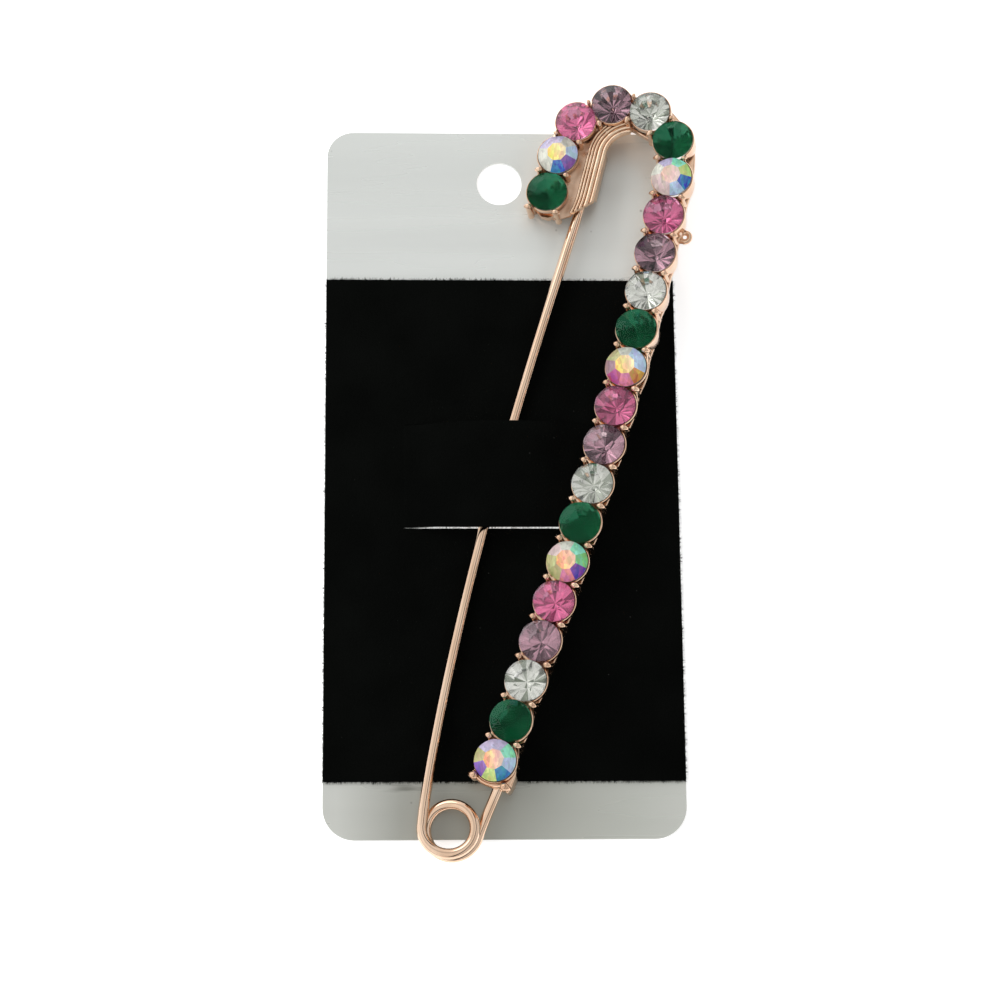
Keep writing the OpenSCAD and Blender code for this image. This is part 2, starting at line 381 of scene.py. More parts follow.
def wireMaterial():
    material, tree, shader = newMaterial("roseGoldWire", 0.12, metal=1.0)
    drawn = noise(tree, wireGold["drawn"], stretch=wireGold["drawnStretch"], turn=brooch["lean"])
    colour = ramp(tree, drawn, [(wireGold["deepAt"], wireGold["deep"]), (wireGold["lightAt"], wireGold["light"])])
    tree.links.new(colour, shader.inputs["Base Color"])
    grain = noise(tree, wireGold["grain"], 2)
    tree.links.new(spread(tree, grain, wireGold["smoothest"], wireGold["roughest"]), shader.inputs["Roughness"])
    addBump(tree, shader, drawn, wireGold["drawnStrength"], wireGold["drawnDepth"])
    return material


bright, shadedCast, litCast = [castMaterial(name) for name in castFinishes]
castFinish = {"castWeb": shadedCast, "castCatch": litCast}  # the web carries painted shade and the catch painted light; the other cast pieces are bright
drawnWire = wireMaterial()


# Back rail: one link with its opening, repeated and bent along the row

rail = {
    "width": 4.0, "low": -0.6, "high": 0.25, "window": 1.3, "slices": 8, "soft": 0.13, "merge": 0.002,
    "waist": 0.09, "endWidth": 0.2,
    "slim": 0.12, "slimFrom": 12, "slimOver": 1.5,  # slimmer on the right after this stone, over so many stones
}


def makeRail():
    pitch = brooch["pitch"]
    size = (rail["width"], pitch, rail["high"] - rail["low"])
    link = box("castRail", (0, 0, (rail["low"] + rail["high"]) / 2), size)
    enterEdit()
    for k in range(1, rail["slices"]):
        bpy.ops.mesh.select_all(action="SELECT")
        bpy.ops.mesh.bisect(plane_co=(0, pitch * (k / rail["slices"] - 0.5), 0), plane_no=(0, 1, 0))
    deselectAll()
    bpy.ops.mesh.primitive_cylinder_add(vertices=40, radius=rail["window"], depth=3)
    cutWith(link, newest("window"))
    chooseFaces(link, lambda f: abs(f.normal.y) > 0.99 and abs(f.center.y) > 0.49 * pitch)  # its two ends
    bpy.ops.mesh.delete(type="FACE")
    leaveEdit()
    softEdges(link, rail["soft"], 3, 60)
    links = link.modifiers.new("links", "ARRAY")
    links.count = brooch["count"]
    links.use_relative_offset = False
    links.use_constant_offset = True
    links.constant_offset_displace = (0, pitch, 0)
    links.use_merge_vertices = True
    links.merge_threshold = rail["merge"]
    applyAll(link)
    editAll(link, "VERT")
    bpy.ops.mesh.fill_holes(sides=0)
    leaveEdit()
    for vertex in link.data.vertices:
        x, s, z = vertex.co
        x *= 1 - rail["waist"] * (0.5 - 0.5 * math.cos(2 * math.pi * s / pitch))
        if x > 0:
            x *= 1 - rail["slim"] * min(1, max(0, (stoneS(rail["slimFrom"]) - s) / (rail["slimOver"] * pitch)))
        past = max(-s, s - rowLen, 0) / (0.5 * pitch)
        x *= math.sqrt(max(rail["endWidth"] ** 2, 1 - past * past))
        p = rowAt(s, x)
        vertex.co = (p.x, p.y, z)
    return smooth(outward(link), 45)


# Walls round the stones: arcs of a cast section, spun about each stone's axis

wall = {  # each section runs out from the stone's axis and up
    "open": [(1.62, 1.40), (2.06, 1.36), (2.18, 1.52), (2.21, 2.02), (2.18, 2.14), (2.12, 2.18), (2.07, 2.15),
             (2.06, 1.98)],
    "deep": [(1.88, -0.45), (2.10, -0.52), (2.22, 0.30), (2.22, 1.40), (2.21, 2.02), (2.18, 2.14), (2.12, 2.18),
             (2.07, 2.15), (2.06, 1.98), (1.80, 1.60)],
    "low": [(1.66, 1.30), (2.02, 1.26), (2.10, 1.40), (2.12, 1.86), (2.09, 1.97), (2.04, 1.99), (1.99, 1.94),
            (1.98, 1.80)],
    "cup": [(2.12, 0.50), (2.30, 0.42), (2.46, 0.60), (2.56, 1.10), (2.55, 1.65), (2.44, 2.02), (2.28, 2.12),
            (2.14, 2.02)],
    "lastDeep": 12,  # stones before this one have the deep wall on their outer side
    "half": 57, "outerHalf": 68, "innerHalf": 44, "endHalf": 47, "cupHalf": 44, "cupMiddle": -92,
    "stepAngle": 8, "leastSteps": 6,
}


def wallArc(section, middle, half):
    arc = outlineFace("wallArc", [(r, 0, z) for r, z in section])
    editAll(arc)
    steps = max(wall["leastSteps"], int(2 * half / wall["stepAngle"]))
    bpy.ops.mesh.spin(steps=steps, angle=math.radians(2 * half), center=(0, 0, 0), axis=(0, 0, 1))
    leaveEdit()
    outward(arc)
    total = sum((v.co.xy.to_3d() for v in arc.data.vertices), Vector())
    arc.data.transform(Matrix.Rotation(math.radians(middle) - math.atan2(total.y, total.x), 4, "Z"))
    return arc


def makeWalls():
    arcs, made = [], {}
    def place(kind, middle, half, s):
        key = (kind, middle, half)
        if key not in made:
            made[key] = wallArc(wall[kind], middle, half)
        arcs.append(copyAt(made[key], onRow(s)))
    for i in range(1, brooch["count"] + 1):
        s = stoneS(i)
        kind = "deep" if i < wall["lastDeep"] else "open"
        place(kind, 0, wall["outerHalf"] if inHook(s) else wall["half"], s)
        place("low", 180, wall["innerHalf"] if inHook(s) else wall["half"], s)
    place("cup", wall["cupMiddle"], wall["cupHalf"], 0)
    place("deep", -90, wall["endHalf"], 0)
    place("low", 90, wall["endHalf"], rowLen)
    walls = joinAs("castWalls", arcs)
    discard(*made.values())
    return smooth(walls, 50)


# Prongs: a teardrop bead on two legs that spread to the rail, melted together as cast

prong = {
    "beadOff": 1.45, "innerOff": 1.74, "beadR": 0.30, "beadZ": 2.40, "beadShape": (1.2, 1.0, 0.95),
    "tailOut": 0.12, "tailDown": 0.20, "tailSlim": 0.25,
    "neckR": 0.25, "neckLow": 1.2, "neckTop": 2.36, "postTop": 1.4, "footZ": -0.2,
    "hookOff": 0.92, "hookSize": 0.70,  # the small ones on the outside of the hook
    "legR": 0.17, "legTop": 2.05, "legIn": 0.12, "legApart": 0.08, "wideFoot": (1.60, 0.80), "slimFoot": (1.48, 0.70),
    "gussetR": (0.34, 0.2), "gussetTop": 1.7,
    "firstLegged": 10.5, "lastWide": 12.5, "cupSize": 1.3, "cupOut": 1.85,
    "voxel": 0.045, "relax": 5, "thin": 0.25,
}


def limbBetween(a, b, r1, r2, corners=12):
    a, b = Vector(a), Vector(b)
    deselectAll()
    bpy.ops.mesh.primitive_cone_add(vertices=corners, radius1=r1, radius2=r2, depth=(b - a).length)
    cone = newest("limb")
    cone.matrix_world = Matrix.Translation((a + b) / 2) @ (b - a).to_track_quat("Z", "Y").to_matrix().to_4x4()
    return bakePlace(cone)


def makeProng(off, foot=None, size=1.0, post=True):
    deselectAll()
    radius, middle = prong["beadR"] * size, (off, 0, prong["beadZ"])
    bpy.ops.mesh.primitive_uv_sphere_add(segments=20, ring_count=12, radius=radius, location=middle)
    bead = newest("bead")
    bead.scale = prong["beadShape"]
    bakePlace(bead)
    for vertex in bead.data.vertices:  # drawn out to a blunt tail on the outside
        reach = (vertex.co.x - off) / prong["beadR"]
        if reach > 0:
            vertex.co.x += prong["tailOut"] * reach
            vertex.co.z -= prong["tailDown"] * reach * reach
            vertex.co.y *= 1 - prong["tailSlim"] * min(reach, 1)
    neck, leg, low = prong["neckR"] * size, prong["legR"], prong["footZ"]
    parts = [bead, limbBetween((off - 0.02, 0, prong["neckLow"]), (off, 0, prong["neckTop"]), neck * 1.3, neck)]
    if foot:
        out, apart = foot
        for side in (-1, 1):
            top = (off + prong["legIn"], side * prong["legApart"], prong["legTop"])
            parts.append(limbBetween((out, side * apart, low), top, leg * 1.2, leg))
        parts.append(limbBetween((out - 0.05, 0, low), (off + 0.1, 0, prong["gussetTop"]), *prong["gussetR"]))
    if post:
        parts.append(limbBetween((off + 0.02, 0, low), (off - 0.02, 0, prong["postTop"]), neck * 1.5, neck * 1.2))
    body = joinAs("prong", parts)
    melt = body.modifiers.new("melt", "REMESH")
    melt.mode = "VOXEL"
    melt.voxel_size = prong["voxel"]
    relax = body.modifiers.new("relax", "SMOOTH")
    relax.iterations = prong["relax"]
    thin = body.modifiers.new("thin", "DECIMATE")
    thin.ratio = prong["thin"]
    return smooth(applyAll(body), 80)


def makeProngs():
    kinds = {
        "plain": makeProng(prong["beadOff"]),
        "inner": makeProng(prong["innerOff"]),
        "hook": makeProng(prong["hookOff"], None, prong["hookSize"]),
        "wide": makeProng(prong["beadOff"], prong["wideFoot"]),
        "slim": makeProng(prong["beadOff"], prong["slimFoot"]),
        "cup": makeProng(prong["beadOff"], None, prong["cupSize"], False),
        "cupRight": makeProng(prong["cupOut"], None, prong["cupSize"], False),
    }
    mirror = Matrix.Scale(-1, 4, (1, 0, 0))
    placed = []
    for i in range(brooch["count"] + 1):
        s = (i - 0.5) * brooch["pitch"]
        junction = brooch["count"] - i + 0.5
        if inHook(s):
            right, left = "hook", "inner"
        elif i == 0:
            right, left = "cupRight", "cup"
        elif i == brooch["count"] or junction < prong["firstLegged"]:
            right, left = "plain", "plain"
        else:
            right, left = "wide" if junction <= prong["lastWide"] else "slim", "plain"
        placed.append(copyAt(kinds[right], onRow(s)))
        placed.append(copyAt(kinds[left], onRow(s) @ mirror))
    prongs = joinAs("castProngs", placed)
    discard(*kinds.values())
    return smooth(prongs, 80)


# Catch in the hook: a ridged band swept along its line, with the lips that hold the point

catch = {
    "x": -2.08, "low": 63.1, "bendY": 70.4, "bendR": 3.6, "bend": 74, "straightSteps": 14, "bendSteps": 22,
    "width": 1.86, "bottom": 0.78, "top": 1.18,
    "ridges": (0.30, 0.32, 0.34, 0.50, 0.40), "ridgeHigh": 0.20, "ridgeSteps": 10,
    "lipLow": -0.45, "lipInto": 0.1, "lipT": 0.24, "lipFrom": 65.5, "lipSteps": 4, "lipSoft": 0.06,
    "drift": 0.32, "driftFrom": 65.6, "cutAside": 0.1, "cutY": 64.1, "cutSlant": (0.656, -0.753),
}


def catchLine(offset=0.0):
    points = []
    low, bendY, steps, driftFrom = (catch[name] for name in ("low", "bendY", "straightSteps", "driftFrom"))
    for k in range(steps + 1):
        y = low + (bendY - low) * k / steps
        past = max(0, (driftFrom - y) / (driftFrom - low))
        points.append(Vector((catch["x"] + offset - catch["drift"] * past * past, y, 0)))
    centre = Vector((catch["x"] + catch["bendR"], bendY, 0))
    for k in range(1, catch["bendSteps"] + 1):
        a = math.radians(180 - catch["bend"] * k / catch["bendSteps"])
        points.append(centre + (catch["bendR"] - offset) * Vector((math.cos(a), math.sin(a), 0)))
    return points


def sweep(name, line, section):  # a closed section (across, up) carried along a level line
    deselectAll()
    across, along = len(section), len(line) - 1
    bpy.ops.mesh.primitive_grid_add(x_subdivisions=across, y_subdivisions=along, size=2)
    obj = newest(name)
    for vertex in obj.data.vertices:
        u, z = section[round((vertex.co.x + 1) / 2 * across) % across]
        k = round((vertex.co.y + 1) / 2 * along)
        heading = (line[min(k + 1, along)] - line[max(k - 1, 0)]).normalized()
        vertex.co = line[k] + Vector((heading.y, -heading.x, 0)) * u + Vector((0, 0, z))
    editAll(obj, "VERT")
    bpy.ops.mesh.remove_doubles(threshold=1e-4)
    bpy.ops.mesh.fill_holes(sides=0)
    leaveEdit()
    return outward(obj)


def makeCatch():
    half, steps = catch["width"] / 2, catch["ridgeSteps"]
    section = [(-half, catch["bottom"]), (half, catch["bottom"]), (half, catch["top"])]
    right = half
    for ridge in reversed(catch["ridges"]):
        for k in range(steps):
            a = math.pi * (k + 0.5) / steps
            section.append((right - ridge * (0.5 - 0.5 * math.cos(a)), catch["top"] + catch["ridgeHigh"] * math.sin(a)))
        right -= ridge
    section.append((-half, catch["top"]))
    band = sweep("catchBand", catchLine(), section)
    inside, lipTop = half - catch["lipT"], catch["bottom"] + catch["lipInto"]
    lip = [(inside, catch["lipLow"]), (half, catch["lipLow"]), (half, lipTop), (inside, lipTop)]
    start, steps = catch["lipFrom"], catch["lipSteps"]
    straight = [Vector((catch["x"], start + (catch["bendY"] - start) * k / steps, 0)) for k in range(steps + 1)]
    rightLip = softEdges(sweep("rightLip", straight, lip), catch["lipSoft"])
    mirrored = [(-u, z) for u, z in lip]
    leftLip = softEdges(sweep("leftLip", catchLine()[catch["straightSteps"]:], mirrored), catch["lipSoft"])
    editAll(band)  # its lower end is cut aslant
    at = (catch["x"] - catch["cutAside"], catch["cutY"], 0)
    bpy.ops.mesh.bisect(plane_co=at, plane_no=(*catch["cutSlant"], 0), use_fill=True, clear_outer=True)
    leaveEdit()
    return smooth(joinAs("castCatch", [band, rightLip, leftLip]), 50)


# Web between the row's end and the catch

web = {
    "fromS": 70.0, "toS": 88.6, "off": -1.25, "low": 1.20, "high": 1.02, "into": 0.12,
    "thick": 0.3, "sag": 0.20, "soft": 0.05, "steps": 26,
}


def makeWeb():
    line = catchLine(-catch["width"] / 2 + web["into"])
    total = len(line) - 1
    inner, outer = [], []
    for k in range(web["steps"] + 1):
        t = k / web["steps"]
        s = web["toS"] + (web["fromS"] - web["toS"]) * t
        p = rowAt(s, web["off"])
        outer.append((p.x, p.y, web["low"]))
        at = t * total
        a = line[int(at)].lerp(line[min(int(at) + 1, total)], at - int(at))
        inner.append((a.x, a.y, web["high"]))
    deselectAll()
    bpy.ops.mesh.primitive_grid_add(x_subdivisions=web["steps"], y_subdivisions=3, size=2)
    sheet = newest("castWeb")
    for vertex in sheet.data.vertices:
        k = round((vertex.co.x + 1) / 2 * web["steps"])
        t = (vertex.co.y + 1) / 2
        low, high = Vector(outer[k]), Vector(inner[k])
        vertex.co = low.lerp(high, t) - Vector((0, 0, web["sag"] * math.sin(math.pi * t)))
    outward(sheet)
    thick = sheet.modifiers.new("thick", "SOLIDIFY")
    thick.thickness = web["thick"]
    thick.offset = -1
    applyAll(sheet)
    return smooth(softEdges(sheet, web["soft"]), 45)


# Loop on the back, socket for the wire, and the pointed end of the rail

loop = {
    "s": stoneS(8) - 1.1, "off": 2.22, "z": -0.35, "ringR": 0.48, "barR": 0.29,
    "rootFrom": 0.2, "rootLong": 1.2, "rootWide": 0.9,
}
socket = {"side": 0.75, "r": 0.78, "z": -0.3, "front": -2.3, "length": 3.5, "bore": 0.57, "depth": 2.8, "soft": 0.1}
tab = {
    "points": [(1.35, -1.1), (1.9, 0.6), (2.1, 0.2), (2.28, -0.65), (2.32, -1.66), (2.25, -2.2), (2.12, -2.52),
               (1.8, -2.25), (1.35, -2.05)],
    "low": -0.25, "high": 1.6, "soft": 0.12,
}


def makeLoop():
    deselectAll()
    bpy.ops.mesh.primitive_torus_add(
        major_segments=28, minor_segments=12, major_radius=loop["ringR"], minor_radius=loop["barR"],
        location=(loop["off"], 0, loop["z"]))
    ring = bakePlace(newest("loop"))
    for vertex in ring.data.vertices:  # its root runs into the rail
        into = max(0, loop["off"] - loop["rootFrom"] - vertex.co.x)
        vertex.co.x -= loop["rootLong"] * into
        vertex.co.y *= 1 + loop["rootWide"] * into
    ring.data.transform(onRow(loop["s"]))
    return smooth(ring, 80)


def makeSocket():
    deselectAll()
    middle = socket["front"] + socket["length"] / 2
    bpy.ops.mesh.primitive_cylinder_add(
        vertices=36, radius=socket["r"], depth=socket["length"],
        location=(socket["side"], middle, socket["z"]), rotation=(math.pi / 2, 0, 0))
    tube = bakePlace(newest("socket"))
    chooseFaces(tube, lambda f: f.normal.y < -0.9)
    bpy.ops.mesh.inset(thickness=socket["r"] - socket["bore"], depth=0)
    extrude(0, socket["depth"], 0)
    leaveEdit()
    softEdges(tube, socket["soft"], 3, 50)
    tube.data.transform(onRow(0))
    return smooth(tube, 50)


def makeTab():
    plate = outlineFace("tab", [(x, y, tab["low"]) for x, y in tab["points"]])
    editAll(plate)
    extrude(0, 0, tab["high"] - tab["low"])
    leaveEdit()
    softEdges(outward(plate), tab["soft"], 3)
    plate.data.transform(onRow(0))
    return smooth(plate, 50)


barPieces = [makeRail(), makeWalls(), makeProngs(), makeCatch(), makeWeb()]
barPieces.append(joinAs("castFittings", [makeLoop(), makeSocket(), makeTab()]))
for piece in barPieces:
    finishPiece(piece, "rose_gold_cast", ["hook_bar"], layOnCard, castFinish.get(piece.name, bright))
print("cast bar:", {p.name: len(p.data.polygons) for p in barPieces})


# Spring wire: out of the socket, round the coil and up as the pin

wire = {
    "d": 1.04, "coilR": 2.5, "turns": 1.5, "rise": 1.12, "coilLow": -0.82, "seat": 0.95,
    "armLen": 71.2, "bow": 1.75, "bowPower": 0.8, "tipX": -2.15, "lowY": 34.0, "lowZ": -0.26, "tipZ": 0.1,
    "tipLen": 9.0, "tipR": 0.12, "perTurn": 40, "armSteps": 60, "legSteps": 12, "legCurve": 1.25,
    "aside": 0.30, "tighter": 0.14,  # the first turn lies a little to the right, the last is wound a little tighter
}


def wireRoute():
    armLen, coilR, coilLow, lowY, lowZ = (wire[name] for name in ("armLen", "coilR", "coilLow", "lowY", "lowZ"))
    mouth = rowAt(0, socket["side"]) + socket["front"] * aheadOf(limbLean)
    end = mouth + wire["seat"] * socket["depth"] * aheadOf(limbLean)
    points = [(end.x, end.y, socket["z"]), (mouth.x, mouth.y, socket["z"])]
    start = coilR + wire["aside"]
    for k in range(wire["legSteps"] - 1, 0, -1):
        t = k / wire["legSteps"]
        x = start + (mouth.x - start) * t ** wire["legCurve"]
        points.append((x, mouth.y * t, coilLow + (socket["z"] - coilLow) * t * t))
    for k in range(int(wire["turns"] * wire["perTurn"]) + 1):
        t = k / wire["perTurn"]
        a = -2 * math.pi * t
        r = coilR - (wire["tighter"] * math.sin(2 * math.pi * (t - 1)) ** 2 if t > 1 else 0)
        aside = wire["aside"] * (1 - t / wire["turns"])
        points.append((aside + r * math.cos(a), r * math.sin(a), coilLow + wire["rise"] * t))
    high = coilLow + wire["turns"] * wire["rise"]
    for k in range(1, wire["armSteps"] + 1):
        y = armLen * k / wire["armSteps"]
        bow = wire["bow"] * math.sin(math.pi * (y / armLen) ** wire["bowPower"])
        x = -coilR + (wire["tipX"] + coilR) * y / armLen - bow
        if y < lowY:
            z = lowZ + (high - lowZ) * (1 - y / lowY) ** 2
        else:
            past = (y - lowY) / (armLen - lowY)
            z = lowZ + (wire["tipZ"] - lowZ) * past ** 2
        points.append((x, y, z))
    return points


def makeWire():
    points = wireRoute()
    deselectAll()
    bpy.ops.curve.primitive_nurbs_path_add()
    curve = newest("springWire")
    data = curve.data
    data.splines.clear()
    spline = data.splines.new("POLY")
    spline.points.add(len(points) - 1)
    for point, (x, y, z) in zip(spline.points, points):
        left = (wire["armLen"] - y) / wire["tipLen"]
        thin = wire["tipR"] / (wire["d"] / 2)
        point.co = (x, y, z, 1)
        point.radius = min(1.0, thin + (1 - thin) * max(left, 0))
    data.dimensions = "3D"
    data.bevel_depth = wire["d"] / 2
    data.bevel_resolution = 8
    data.use_fill_caps = True
    pick(curve)
    bpy.ops.object.convert(target="MESH")
    return smooth(outward(newest("springWire")), 60)


springWire = makeWire()
finishPiece(springWire, "rose_gold_wire", ["pin_wire"], layOnCard, drawnWire)
print("wire:", len(springWire.data.polygons))


# Cut stones: modelled once, then copied; foil behind, glass in front

gem = {
    "d": 4.06, "girdleLow": 2.15, "girdleHigh": 2.27, "crown": 0.80, "pavilion": 1.78, "table": 0.46,
    "facets": 8, "wedges": 15, "seed": 5, "foilBelow": -0.3,
    "darkReflectionWedge": (0.75, 1.0), "brightReflectionWedge": (0.0, 0.35),  # painted reflections: how far each goes from the bright tint to the dark one
    "clouds": 500, "cloudPale": 1.03, "speckles": 1800, "speckleStops": [(0.3, 0.93), (0.6, 1)],
}
gemKinds = ["green", "aurora", "pink", "mauve", "clear"]
# foil colours, with the dark tint of the painted reflections
foilTints = {
    "green": {"bright": (0.024, 0.205, 0.102), "darkReflection": (0.016, 0.13, 0.065), "share": 0.35,
              "glass": (0.9, 1.0, 0.95), "ior": 1.16},
    "pink": {"bright": (1.0, 0.46, 0.66), "darkReflection": (0.32, 0.10, 0.18), "share": 0.20,
             "glass": (1.0, 0.96, 0.98), "ior": 1.45},
    "mauve": {"bright": (0.84, 0.62, 0.69), "darkReflection": (0.11, 0.07, 0.085), "share": 0.28,
              "glass": (1.0, 0.98, 0.99), "ior": 1.45},
    "clear": {"bright": (1.0, 1.0, 0.97), "darkReflection": (0.34, 0.38, 0.31), "share": 0.16,
              "glass": (1.0, 1.0, 0.99), "ior": 1.52},
}
aurora = {
    "stretch": (1, 0.45, 1), "turn": 35, "coat": 0.25, "coatRough": 0.03,
    "splinterReflections": ((1700, 0.03, 0.13), (4200, 0.03, 0.20)),  # scale, and shift of hue and value
    "girdle": (0.45, 0.42, 0.40), "pale": (0.9, 0.9, 0.92), "paleShare": 0.10, "deepen": 0.85,
}
auroraTints = {
    "lilac": (0.54, 0.47, 0.68), "ice": (0.53, 0.69, 0.92), "purple": (0.24, 0.10, 0.46), "blue": (0.025, 0.19, 0.58),
    "cream": (0.64, 0.65, 0.56), "mint": (0.28, 0.85, 0.60), "lime": (0.68, 0.80, 0.24),
    "pinkBeige": (0.66, 0.50, 0.48), "amber": (0.70, 0.34, 0.045), "rose": (0.78, 0.22, 0.36),
    "magenta": (0.46, 0.05, 0.22), "mauveBrown": (0.32, 0.17, 0.20), "olive": (0.45, 0.42, 0.16),
    "teal": (0.02, 0.27, 0.52), "green": (0.22, 0.72, 0.26), "violet": (0.16, 0.03, 0.40),
}
auroraTables = {  # each table passes from its left colour to its right one
    "yellow": ((1.0, 0.70, 0.16), (1.0, 0.85, 0.56)), "blush": ((0.86, 0.60, 0.46), (0.80, 0.62, 0.60)),
    "orange": ((0.98, 0.50, 0.20), (0.96, 0.66, 0.48)), "peach": ((0.98, 0.56, 0.20), (0.86, 0.66, 0.58)),
}
auroraStones = {  # the table, how far clockwise its facets are turned, then the facets clockwise
    2: ("yellow", -22.5, "lilac cream ice purple blue cream cream lilac"),
    7: ("blush", 6, "mint lime blue ice pinkBeige pinkBeige cream lilac"),
    12: ("yellow", -22.5, "cream ice ice amber rose magenta mauveBrown olive"),
    17: ("orange", -22.5, "cream mint green violet rose olive olive pinkBeige"),
    22: ("peach", -5, "lilac mint ice teal lime purple olive lilac"),
}


def makeGem():
    r = gem["d"] / 2
    tableZ, culetZ = gem["girdleHigh"] + gem["crown"], gem["girdleLow"] - gem["pavilion"]
    middle = (0, 0, (tableZ + culetZ) / 2)
    deselectAll()
    bpy.ops.mesh.primitive_cylinder_add(vertices=64, radius=r, depth=tableZ - culetZ, location=middle)
    stone = bakePlace(newest("gem"))
    enterEdit()
    crownSlope = math.atan2(gem["crown"], r * (1 - gem["table"]))
    pavilionSlope = math.atan2(gem["pavilion"], r)
    def cutFacet(a, slope, z, sign):
        at = (r * math.cos(a), r * math.sin(a), z)
        normal = (math.sin(slope) * math.cos(a), math.sin(slope) * math.sin(a), sign * math.cos(slope))
        bpy.ops.mesh.select_all(action="SELECT")
        bpy.ops.mesh.bisect(plane_co=at, plane_no=normal, use_fill=True, clear_outer=True)
    step = 2 * math.pi / gem["facets"]
    for k in range(gem["facets"]):
        cutFacet((k + 0.5) * step, crownSlope, gem["girdleHigh"], 1)
    for k in range(gem["wedges"]):
        cutFacet(2 * math.pi * k / gem["wedges"], pavilionSlope, gem["girdleLow"], -1)
    leaveEdit()
    pick(outward(stone))
    bpy.ops.object.shade_flat()
    return stone


def glassMaterial(kind):
    glass = foilTints[kind]["glass"]
    material, tree, shader = newMaterial("glass" + kind.capitalize(), 0.01, colour=glass)
    fill(shader, {"Transmission Weight": 1.0, "IOR": foilTints[kind]["ior"]})
    pale = tuple(min(1.0, c * gem["cloudPale"]) for c in glass)
    clouds = noise(tree, gem["clouds"], 2)
    tree.links.new(ramp(tree, clouds, [(0.3, glass), (0.7, pale)]), shader.inputs["Base Color"])
    return material


def facetTint(tree):  # the colour that each facet carries in its mesh
    tint = tree.nodes.new("ShaderNodeVertexColor")
    tint.layer_name = "facetTint"
    return tint.outputs["Color"]


def foilMaterial():
    material, tree, shader = newMaterial("stoneFoil", 0.07, metal=0.8)
    speckle = ramp(tree, noise(tree, gem["speckles"]), gem["speckleStops"])
    tree.links.new(mixColour(tree, "MULTIPLY", 1.0, facetTint(tree), speckle), shader.inputs["Base Color"])
    return material


def auroraMaterial():
    material, tree, shader = newMaterial("auroraCoat", 0.12, level=0.35)
    colour = facetTint(tree)
    for scale, hue, value in aurora["splinterReflections"]:  # splinters of shifted colour inside each facet: painted reflections of the inner facets
        parts = tree.nodes.new("ShaderNodeSeparateColor")
        tree.links.new(cells(tree, scale, "Color", aurora["stretch"], aurora["turn"]), parts.inputs["Color"])
        shift = tree.nodes.new("ShaderNodeHueSaturation")
        shiftHue = spread(tree, parts.outputs["Red"], 0.5 - hue, 0.5 + hue, 0, 1)
        shiftValue = spread(tree, parts.outputs["Green"], 1 - value, 1 + 0.7 * value, 0, 1)
        tree.links.new(shiftHue, shift.inputs["Hue"])
        tree.links.new(shiftValue, shift.inputs["Value"])
        tree.links.new(colour, shift.inputs["Color"])
        colour = shift.outputs["Color"]
    tree.links.new(colour, shader.inputs["Base Color"])
    fill(shader, {"Coat Weight": aurora["coat"], "Coat Roughness": aurora["coatRough"]})
    return material


def blendTint(a, b, t):
    return tuple(x + (y - x) * t for x, y in zip(a, b))


def auroraCorner(number, face, corner):  # paler towards the table, deeper towards the girdle
    table, _, around = auroraStones[number]
    r = gem["d"] / 2
    if face.normal.z > 0.99:
        left, right = auroraTables[table]
        return blendTint(left, right, min(1, max(0, 0.5 + corner.x / (2 * gem["table"] * r))))
    if face.normal.z < 0.3:
        return aurora["girdle"]
    a = 90 - math.degrees(math.atan2(face.center.y, face.center.x))
    colour = auroraTints[around.split()[int(round(a / 45 - 0.5)) % gem["facets"]]]
    outer = min(1, max(0, (corner.xy.length / r - gem["table"]) / (1 - gem["table"])))
    pale = blendTint(colour, aurora["pale"], aurora["paleShare"])
    return blendTint(pale, tuple(aurora["deepen"] * c for c in colour), outer)


def dressGem(stone, kind, number, draw):  # glass in front, foil behind, and a tint for each facet, with painted reflections on the foil's wedges
    layer = stone.data.color_attributes.new("facetTint", "FLOAT_COLOR", "CORNER")
    for face in stone.data.polygons:
        face.material_index = 0 if face.normal.z > gem["foilBelow"] else 1
        if kind == "aurora":
            for corner in face.loop_indices:
                at = stone.data.vertices[stone.data.loops[corner].vertex_index].co
                layer.data[corner].color = (*auroraCorner(number, face, at), 1)
            continue
        tint = foilTints[kind]
        # each foil wedge gets a painted reflection, dark for some and bright for the rest
        reach = gem["darkReflectionWedge"] if draw.random() < tint["share"] else gem["brightReflectionWedge"]
        colour = blendTint(tint["bright"], tint["darkReflection"], draw.uniform(*reach))
        for corner in face.loop_indices:
            layer.data[corner].color = (*colour, 1)


fronts = {kind: glassMaterial(kind) for kind in foilTints}
foil = foilMaterial()
fronts["aurora"] = auroraMaterial()
gemSource = makeGem()
draw = random.Random(gem["seed"])
for number in range(1, brooch["count"] + 1):
    kind = gemKinds[(number - 1) % len(gemKinds)]
    p = rowAt(stoneS(number))
    turn = brooch["lean"] - auroraStones[number][1] if kind == "aurora" else draw.uniform(0, 45)
    stone = copyAt(gemSource, Matrix.Identity(4))
    stone.name = f"stone{number:02d}"
    stone.data.materials.append(fronts[kind])
    stone.data.materials.append(foil)
    dressGem(stone, kind, number, draw)
    place = layOnCard @ Matrix.Translation((p.x, p.y, 0)) @ Matrix.Rotation(math.radians(turn), 4, "Z")
    finishPiece(stone, "stone_" + kind, [f"stone_{number:02d}"], place)
discard(gemSource)
print("stones:", brooch["count"])


# Card: the imported plate keeps its shape and gets its satin plastic, with painted reflection and shade towards the
# bottom

